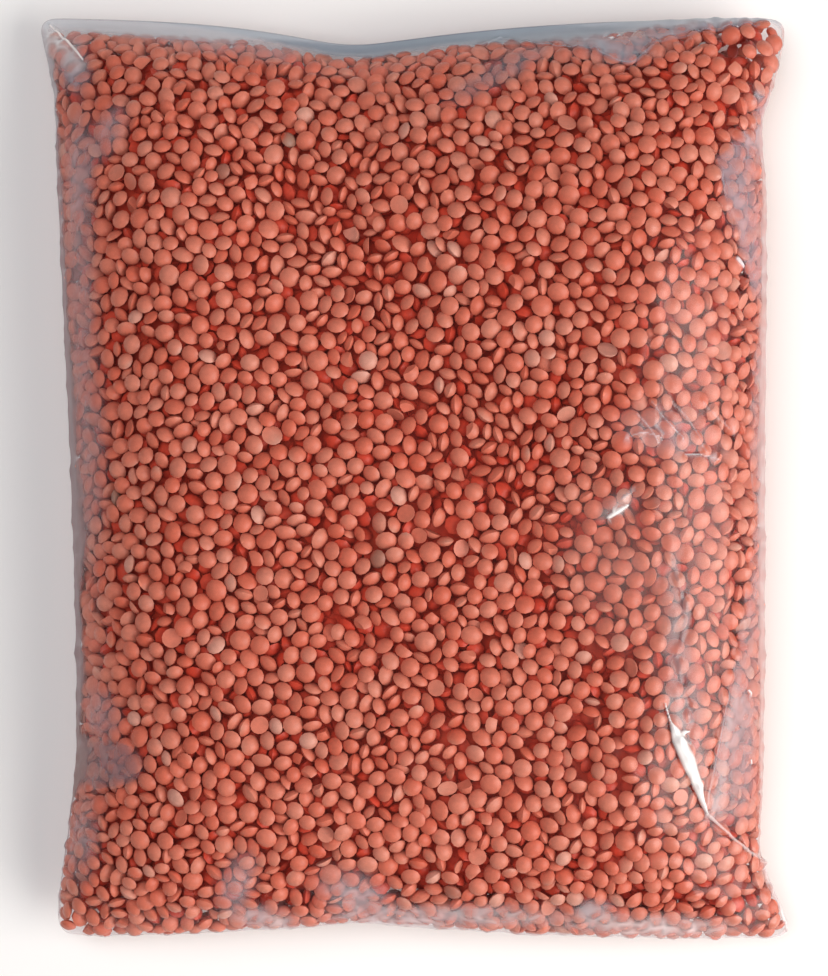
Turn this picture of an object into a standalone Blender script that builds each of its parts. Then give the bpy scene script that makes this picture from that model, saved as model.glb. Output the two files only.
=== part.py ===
"""A sealed clear bag of red lentils, lying on its back on a table.

One closed solid: the filled pillow, the empty film along its top seal, and the ears at its four
corners. X runs across the bag, Y along it towards its top end, and Z up from the table. The origin is on
the table, under the middle of the bag.
"""

import math

import bmesh
import bpy
from mathutils import Matrix

MM = 0.001

# Plan of the bag. Each long edge is a slanting line, pulled in by the filling between two ears.
TOP = 112.4 * MM
BOTTOM = -111.2 * MM
LEFT_AT_TOP = -86.2 * MM
LEFT_AT_BOTTOM = -77.8 * MM
RIGHT_AT_TOP = 85.4 * MM
RIGHT_AT_BOTTOM = 84.4 * MM
EAR_RADIUS = 4.5 * MM

# Swellings of the long edges: how far along Y, how far out and how long. A negative one is a neck.
LEFT_SWELLINGS = (
    (TOP, 3.6 * MM, 12 * MM),
    (0 * MM, -0.9 * MM, 50 * MM),
    (BOTTOM, 7.2 * MM, 30 * MM),
)
RIGHT_SWELLINGS = (
    (TOP, 5.4 * MM, 18 * MM),
    (TOP - 28 * MM, -1.7 * MM, 8 * MM),
    (BOTTOM + 25 * MM, -0.9 * MM, 9 * MM),
    (BOTTOM, 7.4 * MM, 13 * MM),
)

# The sealed ends sag towards the middle of the bag, deepest a little left of its centre line.
TOP_SAG = 8.3 * MM
BOTTOM_SAG = 5.4 * MM
SAG_AT = -14 * MM
SAG_ROUNDING = 5 * MM
TOP_SAG_LEFT_REACH = 30 * MM
TOP_SAG_RIGHT_REACH = 45 * MM
BOTTOM_SAG_REACH = 52 * MM

# Empty film between the outline and the filling: narrow all round, but wide along most of the top seal.
NARROW_MARGIN = 0.8 * MM
TOP_MARGIN = 3.4 * MM
TOP_MARGIN_FROM = 80 * MM
TOP_MARGIN_FULL = 40 * MM
RIM_THICKNESS = 1.2 * MM

# Side view. The seam runs round the bag at about a third of its thickness, lower at the ears.
THICKNESS = 41 * MM
SEAM_HEIGHT = 14 * MM
EAR_DROOP = 4.5 * MM
EAR_DROOP_REACH = 34 * MM

# How far in from each edge the skin takes to level off, and how full its shoulder is. Along the long
# edges the section is nearly round; towards the sealed ends the bag thins out like a wedge.
UPPER_SIDE_REACH = 38 * MM
UPPER_END_REACH = 60 * MM
UNDER_SIDE_REACH = 20 * MM
UNDER_END_REACH = 30 * MM
SIDE_FULLNESS = 2.0
END_FULLNESS = 1.7

# The shallow valley that runs slantwise over the upper side, and the broad lumps beside it.
VALLEY_FROM = (-27 * MM, 66 * MM)
VALLEY_TO = (26 * MM, -2 * MM)
VALLEY_DEPTH = 2.2 * MM
VALLEY_WIDTH = 15 * MM
VALLEY_END = 24 * MM
LUMPS = (
    (-45 * MM, -20 * MM, 1.2 * MM, 34 * MM),
    (42 * MM, 52 * MM, 1.4 * MM, 30 * MM),
    (52 * MM, -34 * MM, -1.3 * MM, 22 * MM),
    (-8 * MM, -72 * MM, 1.0 * MM, 26 * MM),
    (-62 * MM, 60 * MM, 1.0 * MM, 24 * MM),
)

# The mesh: cells across and along, and how much closer together they lie near the edges.
CELLS_ACROSS = 40
CELLS_ALONG = 48
CROWDING = 0.35

FILM_COLOUR = (0.64, 0.25, 0.17, 1.0)
FILM_ROUGHNESS = 0.3


def bell(distance, reach):
    """1 at no distance, falling smoothly to nothing over about two reaches."""
    return math.exp(-((distance / reach) ** 2))


def mix(low, high, share):
    return low + (high - low) * share


def ramp(value, start, end):
    """0 before start, 1 past end, and a smooth step between them. The end may be the lower one."""
    share = min(max((value - start) / (end - start), 0.0), 1.0)
    return share * share * (3 - 2 * share)


def long_edge(y, at_bottom, at_top, swellings):
    """How far out a long edge lies at y: its slanting line with its swellings, as a distance from X = 0."""
    line = mix(abs(at_bottom), abs(at_top), (y - BOTTOM) / (TOP - BOTTOM))
    return line + sum(height * bell(y - middle, reach) for middle, height, reach in swellings)


def left_edge(y):
    return -long_edge(y, LEFT_AT_BOTTOM, LEFT_AT_TOP, LEFT_SWELLINGS)


def right_edge(y):
    return long_edge(y, RIGHT_AT_BOTTOM, RIGHT_AT_TOP, RIGHT_SWELLINGS)


def sag(x, depth, left_reach, right_reach):
    """The inward sag of a sealed end, with a rounded bottom and a long tail towards each ear."""
    away = math.hypot(x - SAG_AT, SAG_ROUNDING) - SAG_ROUNDING
    return depth * math.exp(-away / (left_reach if x < SAG_AT else right_reach))


def top_edge(x):
    return TOP - sag(x, TOP_SAG, TOP_SAG_LEFT_REACH, TOP_SAG_RIGHT_REACH)


def bottom_edge(x):
    return BOTTOM + sag(x, BOTTOM_SAG, BOTTOM_SAG_REACH, BOTTOM_SAG_REACH)


def rounded_ear(from_side, from_end):
    """Bends the square corner between a side and an end into a quarter of a circle."""
    p = max(0.0, 1 - from_side / EAR_RADIUS)
    q = max(0.0, 1 - from_end / EAR_RADIUS)
    side = EAR_RADIUS * (1 - p * math.sqrt(1 - q * q / 2)) if p > 0 else from_side
    end = EAR_RADIUS * (1 - q * math.sqrt(1 - p * p / 2)) if q > 0 else from_end
    return side, end


def shoulder(distance, reach, fullness):
    """The share of its full height that the skin has reached at this distance in from the filling's edge."""
    left_to_go = 1 - min(max(distance / reach, 0.0), 1.0)
    return (1 - left_to_go * left_to_go) ** (1 / fullness)


def seam_height(x, y):
    to_ear = math.hypot(min(x - left_edge(y), right_edge(y) - x), min(y - BOTTOM, TOP - y))
    return SEAM_HEIGHT - EAR_DROOP * bell(to_ear, EAR_DROOP_REACH)


def full_height(x, y):
    """The height of the upper side where it has levelled off, with its valley and lumps."""
    run_x = VALLEY_TO[0] - VALLEY_FROM[0]
    run_y = VALLEY_TO[1] - VALLEY_FROM[1]
    length = math.hypot(run_x, run_y)
    along = ((x - VALLEY_FROM[0]) * run_x + (y - VALLEY_FROM[1]) * run_y) / length
    across = ((x - VALLEY_FROM[0]) * run_y - (y - VALLEY_FROM[1]) * run_x) / length
    past = max(-along, along - length, 0.0)
    valley = VALLEY_DEPTH * bell(across, VALLEY_WIDTH) * bell(past, VALLEY_END)
    lumps = sum(high * bell(math.hypot(x - at_x, y - at_y), wide) for at_x, at_y, high, wide in LUMPS)
    return THICKNESS - valley + lumps


def skin_point(share_x, share_y, upper):
    """A point of the upper or lower skin, from its share of the way across and along the bag."""
    about_x = mix(LEFT_AT_TOP, RIGHT_AT_TOP, share_x)
    about_y = mix(BOTTOM, TOP, share_y)
    left, right = left_edge(about_y), right_edge(about_y)
    low, high = bottom_edge(about_x), top_edge(about_x)
    from_side = min(share_x, 1 - share_x) * (right - left)
    from_end = min(share_y, 1 - share_y) * (high - low)
    side, end = rounded_ear(from_side, from_end)
    on_left, on_bottom = share_x < 0.5, share_y < 0.5
    x = left + side if on_left else right - side
    y = low + end if on_bottom else high - end

    end_margin = NARROW_MARGIN
    if not on_bottom:
        end_margin = mix(NARROW_MARGIN, TOP_MARGIN, ramp(x, TOP_MARGIN_FROM, TOP_MARGIN_FULL))
    from_side -= NARROW_MARGIN
    from_end -= end_margin

    seam = seam_height(x, y)
    if upper:
        level = shoulder(from_side, UPPER_SIDE_REACH, SIDE_FULLNESS) * shoulder(
            from_end, UPPER_END_REACH, END_FULLNESS
        )
        return x, y, mix(seam + RIM_THICKNESS / 2, full_height(x, y), level)
    level = shoulder(from_side, UNDER_SIDE_REACH, SIDE_FULLNESS) * shoulder(
        from_end, UNDER_END_REACH, END_FULLNESS
    )
    return x, y, mix(seam - RIM_THICKNESS / 2, 0.0, level)


def crowded(share):
    """Moves an evenly spaced share towards its nearer edge, where the skin bends most."""
    return share - CROWDING * math.sin(2 * math.pi * share) / (2 * math.pi)


def add_skin(mesh, upper):
    """One skin of the bag, as a grid, and the edges round it."""
    made = bmesh.ops.create_grid(mesh, x_segments=CELLS_ACROSS, y_segments=CELLS_ALONG, size=1.0)
    for vertex in made["verts"]:
        share_x = crowded((vertex.co.x + 1) / 2)
        share_y = crowded((vertex.co.y + 1) / 2)
        vertex.co = skin_point(share_x, share_y, upper)
    edges = {edge for vertex in made["verts"] for edge in vertex.link_edges}
    return [edge for edge in edges if len(edge.link_faces) == 1]


def centre_on_table(mesh):
    """Puts the middle of the bag's box over the origin, with its underside on the table."""
    xs = [vertex.co.x for vertex in mesh.verts]
    ys = [vertex.co.y for vertex in mesh.verts]
    lowest = min(vertex.co.z for vertex in mesh.verts)
    shift = (-(min(xs) + max(xs)) / 2, -(min(ys) + max(ys)) / 2, -lowest)
    bmesh.ops.transform(mesh, matrix=Matrix.Translation(shift), verts=mesh.verts[:])


def film_material():
    material = bpy.data.materials.new("clear film over red lentils")
    material.use_nodes = True
    shader = material.node_tree.nodes["Principled BSDF"]
    shader.inputs["Base Color"].default_value = FILM_COLOUR
    shader.inputs["Roughness"].default_value = FILM_ROUGHNESS
    shader.inputs["Metallic"].default_value = 0.0
    return material


def make_filled_bag():
    mesh = bmesh.new()
    upper_rim = add_skin(mesh, upper=True)
    lower_rim = add_skin(mesh, upper=False)
    bmesh.ops.bridge_loops(mesh, edges=upper_rim + lower_rim)
    bmesh.ops.recalc_face_normals(mesh, faces=mesh.faces[:])
    centre_on_table(mesh)
    data = bpy.data.meshes.new("filled_bag")
    mesh.to_mesh(data)
    mesh.free()
    data.shade_smooth()
    data.materials.append(film_material())
    bpy.context.scene.collection.objects.link(bpy.data.objects.new("filled_bag", data))


def main():
    for leftover in list(bpy.data.objects):
        bpy.data.objects.remove(leftover)
    make_filled_bag()


main()
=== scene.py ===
"""A sealed clear bag of whole red lentils, lying on its back: the film, the lentils and their shaded bed."""

import itertools
import math
from collections import namedtuple
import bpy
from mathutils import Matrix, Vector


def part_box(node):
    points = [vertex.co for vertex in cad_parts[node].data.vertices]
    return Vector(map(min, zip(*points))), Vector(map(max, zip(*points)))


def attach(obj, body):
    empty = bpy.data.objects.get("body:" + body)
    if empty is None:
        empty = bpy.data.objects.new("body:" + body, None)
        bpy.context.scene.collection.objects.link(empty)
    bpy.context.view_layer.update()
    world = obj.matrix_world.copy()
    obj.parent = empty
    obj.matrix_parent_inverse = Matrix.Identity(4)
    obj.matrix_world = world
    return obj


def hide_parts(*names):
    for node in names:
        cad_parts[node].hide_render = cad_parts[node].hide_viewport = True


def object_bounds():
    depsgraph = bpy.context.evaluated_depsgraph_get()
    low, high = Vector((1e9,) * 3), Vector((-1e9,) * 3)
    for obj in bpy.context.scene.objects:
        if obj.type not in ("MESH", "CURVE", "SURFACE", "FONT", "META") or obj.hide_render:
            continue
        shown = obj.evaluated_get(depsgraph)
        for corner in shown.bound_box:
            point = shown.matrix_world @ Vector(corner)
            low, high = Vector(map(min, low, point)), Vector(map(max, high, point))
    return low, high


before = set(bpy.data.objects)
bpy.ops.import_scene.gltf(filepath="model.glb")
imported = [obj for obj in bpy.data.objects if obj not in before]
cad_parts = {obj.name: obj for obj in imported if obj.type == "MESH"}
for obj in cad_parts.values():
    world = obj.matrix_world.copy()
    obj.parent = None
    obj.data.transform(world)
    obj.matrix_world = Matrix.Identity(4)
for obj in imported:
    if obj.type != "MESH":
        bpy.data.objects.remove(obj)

from types import SimpleNamespace

import bmesh
import bpy
import numpy as np
from mathutils import Vector, noise
from mathutils.bvhtree import BVHTree

CAD_BOX = [list(corner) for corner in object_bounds()]
MM = 0.001
BAG = "filled_bag"
ROOT = "root"
TINY = 1e-9

# Reading the CAD's skin: how its loose triangles are sewn and paired, how far off a ray starts, how high a
# way points on an upright face, on one that faces up and on a steep axis, and the shortest edge in use.
SEWING_REACH = 0.01 * MM
MOST_BEND = 0.6
MOST_SKEW = 1.2
RAY_START = 10 * MM
UPRIGHT = 0.02
FACING_UP = 0.1
STEEP = 0.8
SHORT_EDGE = 0.2 * MM

# Lentils: red ones without their skins, measured across and from face to face. A few are split or broken,
# and a very few are pale or dull.
LENTIL_RADIUS = 2.12 * MM
LENTIL_RADIUS_SPREAD = 0.2 * MM
LENTIL_RADIUS_RANGE = (1.6 * MM, 2.6 * MM)
LENTIL_FLATNESS = 0.56
LENTIL_FLATNESS_SPREAD = 0.06
LENTIL_FLATNESS_RANGE = (0.44, 0.7)
OVALNESS = 0.03
DOME_POWER = 2.2
RIM_SHARPNESS = 0.72
ON_RIM = 1e-4
SPLIT_SHARE = 0.035
BROKEN_SHARE = 0.03
PALE_SHARE = 0.02
DULL_SHARE = 0.0015

# How finely a lentil is meshed, around it and from face to face.
FINE = (12, 6)
COARSE = (8, 4)
FINE_SPLIT = (14, 6)

# The breaks in a split and a broken lentil of radius 1: a point of each, and the way that it faces.
SPLIT_CUTS = (((0, 0, 0.06), (0, 0, 1)),)
BROKEN_CUTS = (((0.25, 0, 0), (1, 0.15, 0.3)), ((0, 0.45, 0), (0.35, 1, -0.35)))

# Shades run from 0 to 1. Most lentils are spread evenly about the middle ones, split ones show a paler
# inside, and each is worn a little paler towards one side.
LEAST_SHADE = 0.18
SHADE_RANGE = 0.62
SHADE_EVENNESS = 3
PALE_SHADES = (0.9, 1.0)
DULL_SHADES = (0.0, 0.03)
SPLIT_PALER = 0.12
WORN_SPREAD = 0.22
MOST_WORN = 0.5
WORN_FADE = 3

# A lentil's colour by its shade, from dull brown through salmon red to pale. Those deeper in the bag are lit
# only by light that has already met other lentils, and their purer red is painted shade for it.
LENTIL_SHADES = (
    (0.0, "#a57c6a"),
    (0.06, "#d25a3f"),
    (0.3, "#dc7258"),
    (0.6, "#de846b"),
    (0.85, "#de937c"),
    (1.0, "#e0a28d"),
)
PAINTED_SHADE_LENTIL_COLOURS = ((0.0, "#d03f29"), (0.5, "#d34b34"), (1.0, "#d65843"))
LENTIL_ROUGHNESS = 0.45
LENTIL_IOR = 1.45
MOTTLE = {"Scale": 1 / (1.4 * MM), "Detail": 3.0, "Roughness": 0.6}
MOTTLE_TONES = {"From Min": 0.3, "From Max": 0.7, "To Min": 0.9, "To Max": 1.08}

# Packing: the filling is laid as a shell of grains under the film, this deep and this dense, with this much
# room between grain and film. The pitch is that of the grid which holds the bag's depth.
SHELL_DEPTH = 7 * MM
PACKED_SHARE = 0.64
FILM_GAP = 0.12 * MM
FIELD_PITCH = 2 * MM
SEED = 7

# How strongly the grains lie flat against the film at first, and turn flat as it presses on them.
LIE_FLAT = 0.9
FLATTENING = 0.38

# Settling: how many rounds it takes and how many a list of neighbours lasts, which pairs it holds beyond
# those that touch, and how far a touch pushes, turns and presses the grains.
ROUNDS = 200
PAIRS_LAST = 8
PAIR_MARGIN = 0.5 * MM
PUSH = 0.45
TURNING = 0.2
PRESS = 0.02 * MM

# Which grains are left out because they stand out of the skin, which lie outermost, and which way the
# normal points where the upper ones begin.
MOST_STANDING_OUT = 0.8 * MM
OUTER_DEPTH = 3.2 * MM
UPPER_FROM = -0.15

# The lentils press right up to the outline along the foot and in the ears. The slack film stands off them
# along the long edges and the rest of the top seal.
EDGE_REACH = 18 * MM
EDGE_SHIFT = 1.5 * MM
EDGE_FADE = 1.5
HELD_IN = 0.92
TOP_FILLED_FROM = 52 * MM
SIDE_FILLED_FROM = 68 * MM
FILLED_RAMP = 20 * MM

# The slanting valley in the upper side, where the film is slack and more of the lentils stand on edge.
VALLEY_FROM = (-27 * MM, 66 * MM)
VALLEY_TO = (26 * MM, -2 * MM)
VALLEY_WIDTH = 11 * MM
VALLEY_ABOVE = 20 * MM

# Studio: the table, the dim room that the film reflects, and the pale backdrop behind the bag.
FLOOR_SIZE = 1.5
FLOOR_DROP = 0.2 * MM
FLOOR_COLOUR = "#faf9f7"
FLOOR_ROUGHNESS = 0.9
ROOM_COLOUR = "#e6eaee"
ROOM_LIGHT = 0.1
BACKDROP_LIGHT = 0.95

# Lights, in metres and watts: a window at the right, and one above that the film doesn't mirror.
Light = namedtuple("Light", "name place size power colour")
WINDOW = Light("window", (0.76, -0.3, 0.55), 0.9, 12.4, "#fffaf5")
OVERHEAD = Light("overhead", (-0.36, 0.18, 1.24), 1.0, 10.8, "#f8f7fa")
LIT_SPOT = (0, 0, 0.02)

# Camera: straight above the bag. It sees this length of the bag's middle plane.
CAMERA_PLACE = (-0.1 * MM, -2.4 * MM, 0.62)
MIDDLE_PLANE = 14 * MM
SEEN_LENGTH = 232.38 * MM
SENSOR_WIDTH = 36.0
CLIP_START = 0.01

# Film: how finely it is meshed, how far off it looks for grains, how far it may sag below its smooth shape
# between them and stays clear of them, and how many rounds it is pulled tight.
FILM_LEVELS = 2
GRAIN_SEARCH = 3.6 * MM
FILM_SAG_LIMIT = 0.5 * MM
FILM_CLEARANCE = 0.14 * MM
FILM_ROUNDS = 6

# Folds: the steps between two of a fold's points, how far beside it the mesh is cut finer and into how
# many cuts, how wide its foot is in half widths, and how its milkiness and painted light fade across it.
PATH_STEPS = 6
FOLD_MARGIN = 1.1 * MM
FOLD_CUTS = 3
FOLD_FOOT = 1.4
FOLD_MILK_AND_LIGHT = 1.8
FOLD_MILK_AND_LIGHT_FADE = 1.6

# Skirts: how far they run on past a fold's end, and in millimetres, how far they take to fade in beside it
# and how far their outer edge wanders.
SKIRT_FADE = 2.5 * MM
SKIRT_SOFTNESS = 1.4
SKIRT_WANDER = 1.5
SKIRT_POWER = 0.6

# Milkiness: its colour where there is none, the size and strength of its clouds, how much of it there is
# where the film touches a grain and how much more where it stands off by the slack gap, and the most of it.
# The same milky layers also carry painted highlights, reflections and shade.
# A slanting look goes a longer way through the film and so meets more of it: at a grazing one, the straight
# way through is this share of that longer way.
THROUGH_FILM = 0.2
CLEAR_COLOUR = "#d8c8c8"
CLOUD_SIZE = 3.2 * MM
CLOUDINESS = 0.9
PATCH_CLOUDS = 0.5
EDGE_CLOUDS = 0.2
SKIRT_CLOUDS = 0.4
TOUCHING_MILK = 0.55
SLACK_MILK = 0.9
SLACK_GAP = 0.8 * MM
MOST_MILK_AND_LIGHT = 0.9
WALL_MILK = 1.8
PATCH_FADE = 1.5
EDGE_SOLIDITY = 2.4
EDGE_UNDER = -0.3
LEAST_BAND = 0.01 * MM

# The film's own look: a nearly clear sheet with a soft gloss, this strong seen head on and this much
# stronger at a grazing look.
FILM_TINT = "#f6f4f5"
FILM_IOR = 1.5
MILK_ROUGHNESS = 0.5
GLOSS_ROUGHNESS = 0.27
GLOSS_HEAD_ON = 0.036
GLOSS_GRAZING = 0.1
GRAZING_POWER = 5.0

# Bed: the body under the laid grains, this far in from the outline and below the film, and its rounded
# cells, which are as wide as a lentil.
BED_INSET = 11 * MM
BED_DEPTH = 5.8 * MM
BED_LEAST = 1.5 * MM
BED_CELLS = {"Scale": 1 / (4.2 * MM), "Randomness": 0.9}
BED_BUMP = {"Strength": 0.8, "Distance": 1.2 * MM}
# Its colours are painted shade: a deep red that darkens towards each cell's rim, as between packed lentils.
BED_PAINTED_SHADE_COLOURS = ("#e05a3e", "#c03420")
BED_PAINTED_SHADE_FROM = 0.75
BED_ROUGHNESS = 0.7

# Folds in the upper film. Each has its points and its half width at each of them, in millimetres, how far
# it stands up, how milky it is and its colour. Its skirt is the slack film on one side of it: how far it
# reaches, to the left of the fold's run or, if negative, to the right, and how milky it is. Some colours
# are painted light, as said at each: painted highlights and glints, painted reflection and painted shade.
Fold = namedtuple("Fold", "points widths rise milk colour skirt", defaults=[(0, 0)])
FOLDS = (
    # The bright fold at the lower right, whose white is a painted highlight, and the second fold that meets
    # its tip and runs up the right side, whose skirt's pale milkiness is partly a painted reflection.
    Fold(
        ((57.2, -51.5), (58.6, -56), (60.3, -59.6), (62.9, -65.4), (65.2, -71), (67.2, -77.3)),
        (0.12, 0.22, 1.5, 1.6, 1.15, 0.25), 1.2, 0.96, "#fffdfa", (5, 0.2),
    ),
    Fold(((60.4, -59.8), (61.8, -58.4), (63, -58.2)), (0.8, 0.5, 0.2), 0.6, 0.9, "#fffdfa"),
    Fold(((67.2, -77.3), (69.4, -66), (72.3, -52)), (0.5, 0.45, 0.3), 0.35, 0.2, "#c4aeb2", (-12, 0.5)),
    Fold(
        ((72.3, -52), (74.5, -40), (78.4, -20), (79.4, -6), (78, 9), (79.6, 33)),
        (0.4,), 0.15, 0.03, "#b9a3a8", (-9, 0.46),
    ),
    Fold(
        ((67.2, -77.3), (71, -80.8), (76, -85.5), (83.4, -92.1)),
        (0.4, 0.4, 0.35, 0.45), 0.5, 0.4, "#f3e2df",
    ),
    Fold(((83.4, -92.1), (87.3, -101), (89.8, -109)), (0.5, 0.4, 0.3), 0.4, 0.6, "#f7eeee"),
    # A dark stroke beside the bright fold: painted shade.
    Fold(((61.3, -59.2), (63.4, -60.9)), (0.35, 0.3), 0.3, 0.85, "#75696c"),
    # The grey streaks above the bright fold.
    Fold(((59.4, -19), (60.2, -23.5)), (0.9, 0.4), 0.1, 0.3, "#8f7f83"),
    Fold(((61.2, -26.5), (62.5, -31.5), (61.4, -37.5)), (0.4, 1.0, 0.5), 0.1, 0.36, "#85757a"),
    Fold(((60.0, -41), (61.2, -46.5)), (0.8, 0.35), 0.1, 0.32, "#8a7a7f"),
    Fold(((62.4, -51), (63.6, -56)), (0.4, 0.8), 0.1, 0.3, "#95868a"),
    # The short bright fold right of the middle, whose white is a painted highlight.
    Fold(((44.3, -9.1), (46.4, -7.7), (48.6, -6.4)), (0.45, 0.6, 0.25), 0.7, 0.95, "#fffaf6", (3, 0.3)),
    Fold(((47.2, -4.6), (49.4, -3.4)), (0.4, 0.3), 0.3, 0.6, "#8b7c80"),
    # Fine crinkles over the right shoulder.
    Fold(((47.5, 8.7), (52, 10.2), (56.4, 9.2)), (0.18, 0.25, 0.18), 0.15, 0.3, "#efdfe2"),
    Fold(((50.6, 14.6), (53.6, 11.4), (55.6, 8)), (0.2, 0.25, 0.2), 0.15, 0.3, "#efdfe2"),
    Fold(((54, 17.4), (57.6, 13), (61.6, 9)), (0.15, 0.25, 0.2), 0.15, 0.26, "#efdfe2"),
    Fold(((58.3, 17.9), (63.5, 12.5), (67, 6)), (0.15, 0.22, 0.15), 0.15, 0.22, "#efdfe2"),
    Fold(((62, 5.4), (66, 5.2), (70.2, 4.2)), (0.2, 0.28, 0.2), 0.2, 0.32, "#f0e2e4"),
    Fold(((66, 17.5), (70.3, 13.4), (74.6, 10.5)), (0.15, 0.2, 0.15), 0.15, 0.22, "#efdfe2"),
    Fold(((55.2, 11.8), (57, 10)), (0.5, 0.35), 0.1, 0.5, "#8b7f86"),
    # The slack film below the upper right ear, its pale milkiness partly a painted reflection.
    Fold(
        ((80, 89), (79.4, 83), (74.5, 79.5), (69.5, 74), (70.6, 70), (72.1, 64), (75.1, 53), (78.5, 44)),
        (0.4, 0.4, 0.4, 0.5, 0.4, 0.4, 0.4, 0.3), 0.15, 0.03, "#b3a3ae", (11, 0.56),
    ),
    # The top edge: a crease in the band and the scalloped lower edge of the slack film, whose grey-blue is
    # partly painted shade, a corner line that is a painted highlight, and two painted glints.
    Fold(((14.5, 102.4), (17.2, 103.6), (20.4, 105)), (0.25, 0.3, 0.3), 0.4, 0.5, "#b3bcc6", (4, 0.4)),
    Fold(((20.4, 105), (26, 103.4), (34.5, 101.6), (42, 101)), (0.3,), 0.4, 0.3, "#a9b3be", (6, 0.6)),
    Fold(
        (
            (42, 101), (44, 99.4), (47, 97.6), (50.4, 96.9), (53, 98.6),
            (56.8, 102.2), (63, 104), (72, 106.2), (82, 107.8),
        ),
        (0.3, 0.35, 0.4, 0.4, 0.4, 0.35, 0.35, 0.35, 0.3), 0.5, 0.26, "#b6b9c6", (7, 0.62),
    ),
    Fold(
        ((-87.4, 108.6), (-84.4, 105.6), (-81.1, 102.3), (-78.4, 98.9)),
        (0.2, 0.3, 0.3, 0.2), 0.5, 0.92, "#fff6f2", (-5, 0.4),
    ),
    Fold(((46.4, 104.2), (46.9, 104.5)), (0.35,), 0.3, 0.9, "#ffffff"),
    Fold(((48.1, 104.8), (48.6, 105)), (0.3,), 0.3, 0.9, "#ffffff"),
    # The pocket that the film makes at the left edge, its dark brown-grey partly painted shade.
    Fold(
        (
            (-77.4, -60.2), (-72.9, -60.5), (-67.6, -61.2), (-63.8, -63.3),
            (-62.9, -66.4), (-64.6, -69.8), (-70.5, -71.6), (-77, -73),
        ),
        (0.4, 0.4, 0.4, 0.35, 0.4, 0.4, 0.35, 0.4), 0.25, 0.06, "#977c80", (-8, 0.6),
    ),
    # Small painted glints.
    Fold(((75, 50.6), (76.2, 49)), (0.6, 0.4), 0.5, 0.7, "#f6eef2"),
    Fold(((78.3, -49.6), (79, -50.2)), (0.25,), 0.3, 0.8, "#ffffff"),
    Fold(((78.6, -66), (79.3, -66.8)), (0.25,), 0.3, 0.8, "#ffffff"),
)

# Milky places, where the film stands off the lentils, their milkiness partly the film's own and partly
# a painted reflection of the window and the room: middle and reaches in millimetres, turn in degrees,
# milkiness and colour.
Patch = namedtuple("Patch", "at reach turn milk colour")
PATCHES = (
    # Over the right-hand side, where they are partly a painted reflection of the window.
    Patch((76, -62), (4, 14), 8, 0.25, "#b5a3ab"),
    Patch((62, -50), (4, 12), 10, 0.3, "#b9a4aa"),
    Patch((60.5, -32), (3, 13), 4, 0.3, "#a9979d"),
    Patch((47, -20), (12, 18), 20, 0.12, "#dcc4be"),
    Patch((57, 10.5), (9.5, 5), -8, 0.32, "#c4b2b9"),
    Patch((47, -6.5), (4.5, 2.6), 35, 0.24, "#cbbcc0"),
    Patch((75, 64), (4, 8), 0, 0.2, "#ada1ac"),
    # Along the top.
    Patch((20, 95), (13, 3.2), 33, 0.34, "#a9a7b0"),
    Patch((46, 102), (9, 4), -10, 0.3, "#b9bcc8"),
    Patch((-50, 105), (14, 4), -10, 0.35, "#d3cdd6"),
    Patch((-32, 103), (6, 5), 0, 0.3, "#c3b6be"),
    # The upper left corner and left shoulder.
    Patch((-80, 96.5), (3.2, 5.5), 12, 0.62, "#b6adb6"),
    Patch((-84, 104), (6, 6), 0, 0.3, "#e4e6ea"),
    Patch((-71, 80), (3.4, 6.5), -25, 0.42, "#cfb2b6"),
    Patch((-78, 72), (3.6, 12), 0, 0.45, "#caacb0"),
    Patch((-78.5, 45), (4.4, 26), 0, 0.42, "#c4a5a8"),
    Patch((-76, 5), (4.4, 22), 0, 0.36, "#c4a5a8"),
    Patch((-73, -55), (4.6, 6), 20, 0.42, "#c9a6a9"),
    Patch((-70, -66), (6, 4.5), 0, 0.34, "#bb9699"),
    Patch((-78, -85), (4, 10), -8, 0.3, "#d2b6b8"),
    # Along the foot.
    Patch((-41, -94), (3.5, 7), -20, 0.4, "#d2bfc4"),
    Patch((-35, -104), (7, 3.4), -12, 0.42, "#dccbcf"),
    Patch((-14, -97), (8, 5), -25, 0.4, "#d6c6cb"),
    Patch((-4, -103.5), (14, 3), 0, 0.42, "#e2d2d6"),
    Patch((18, -102.5), (14, 2.6), 0, 0.4, "#dccbcd"),
    Patch((42, -101), (4, 2.4), 0, 0.6, "#cdc3c8"),
    Patch((56, -105.5), (20, 2.8), -3, 0.5, "#e5d0d0"),
)

# The edges of the film: from how high to how low along the bag, the band's width, milkiness and colour.
# A band is widest at its middle.
Edge = namedtuple("Edge", "side middle length width milk colour")
EDGES = (
    # The darker brown-grey bands on the left are painted shade over the film's hem.
    Edge("left", 60, 60, 3.0, 0.62, "#a08489"),
    Edge("left", 14, 34, 4.0, 0.74, "#987c7f"),
    Edge("left", -12, 19, 5.8, 0.78, "#937678"),
    Edge("left", -42, 20, 4.2, 0.76, "#937679"),
    Edge("left", -66, 8, 6.0, 0.74, "#8a635f"),
    Edge("left", -90, 20, 1.6, 0.45, "#ab8f93"),
    Edge("left", 98, 20, 3.0, 0.4, "#c9cdd2"),
    # The pale pink band down the right side is a painted reflection on the steep wall.
    Edge("right", 0, 110, 3.8, 0.55, "#c6a3a0"),
    # The dark grey-blue bands at the top are partly painted shade of the doubled film.
    Edge("top", -8, 42, 4.6, 0.86, "#8f9aa6"),
    Edge("top", 30, 34, 5.4, 0.78, "#98a2ac"),
    Edge("top", -62, 30, 6.0, 0.5, "#d0d5da"),
    Edge("top", 66, 26, 3.6, 0.55, "#c3c7ce"),
    Edge("foot", 20, 90, 2.2, 0.4, "#e8dade"),
)


# ---- The bag's skin, read from the frame


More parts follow.
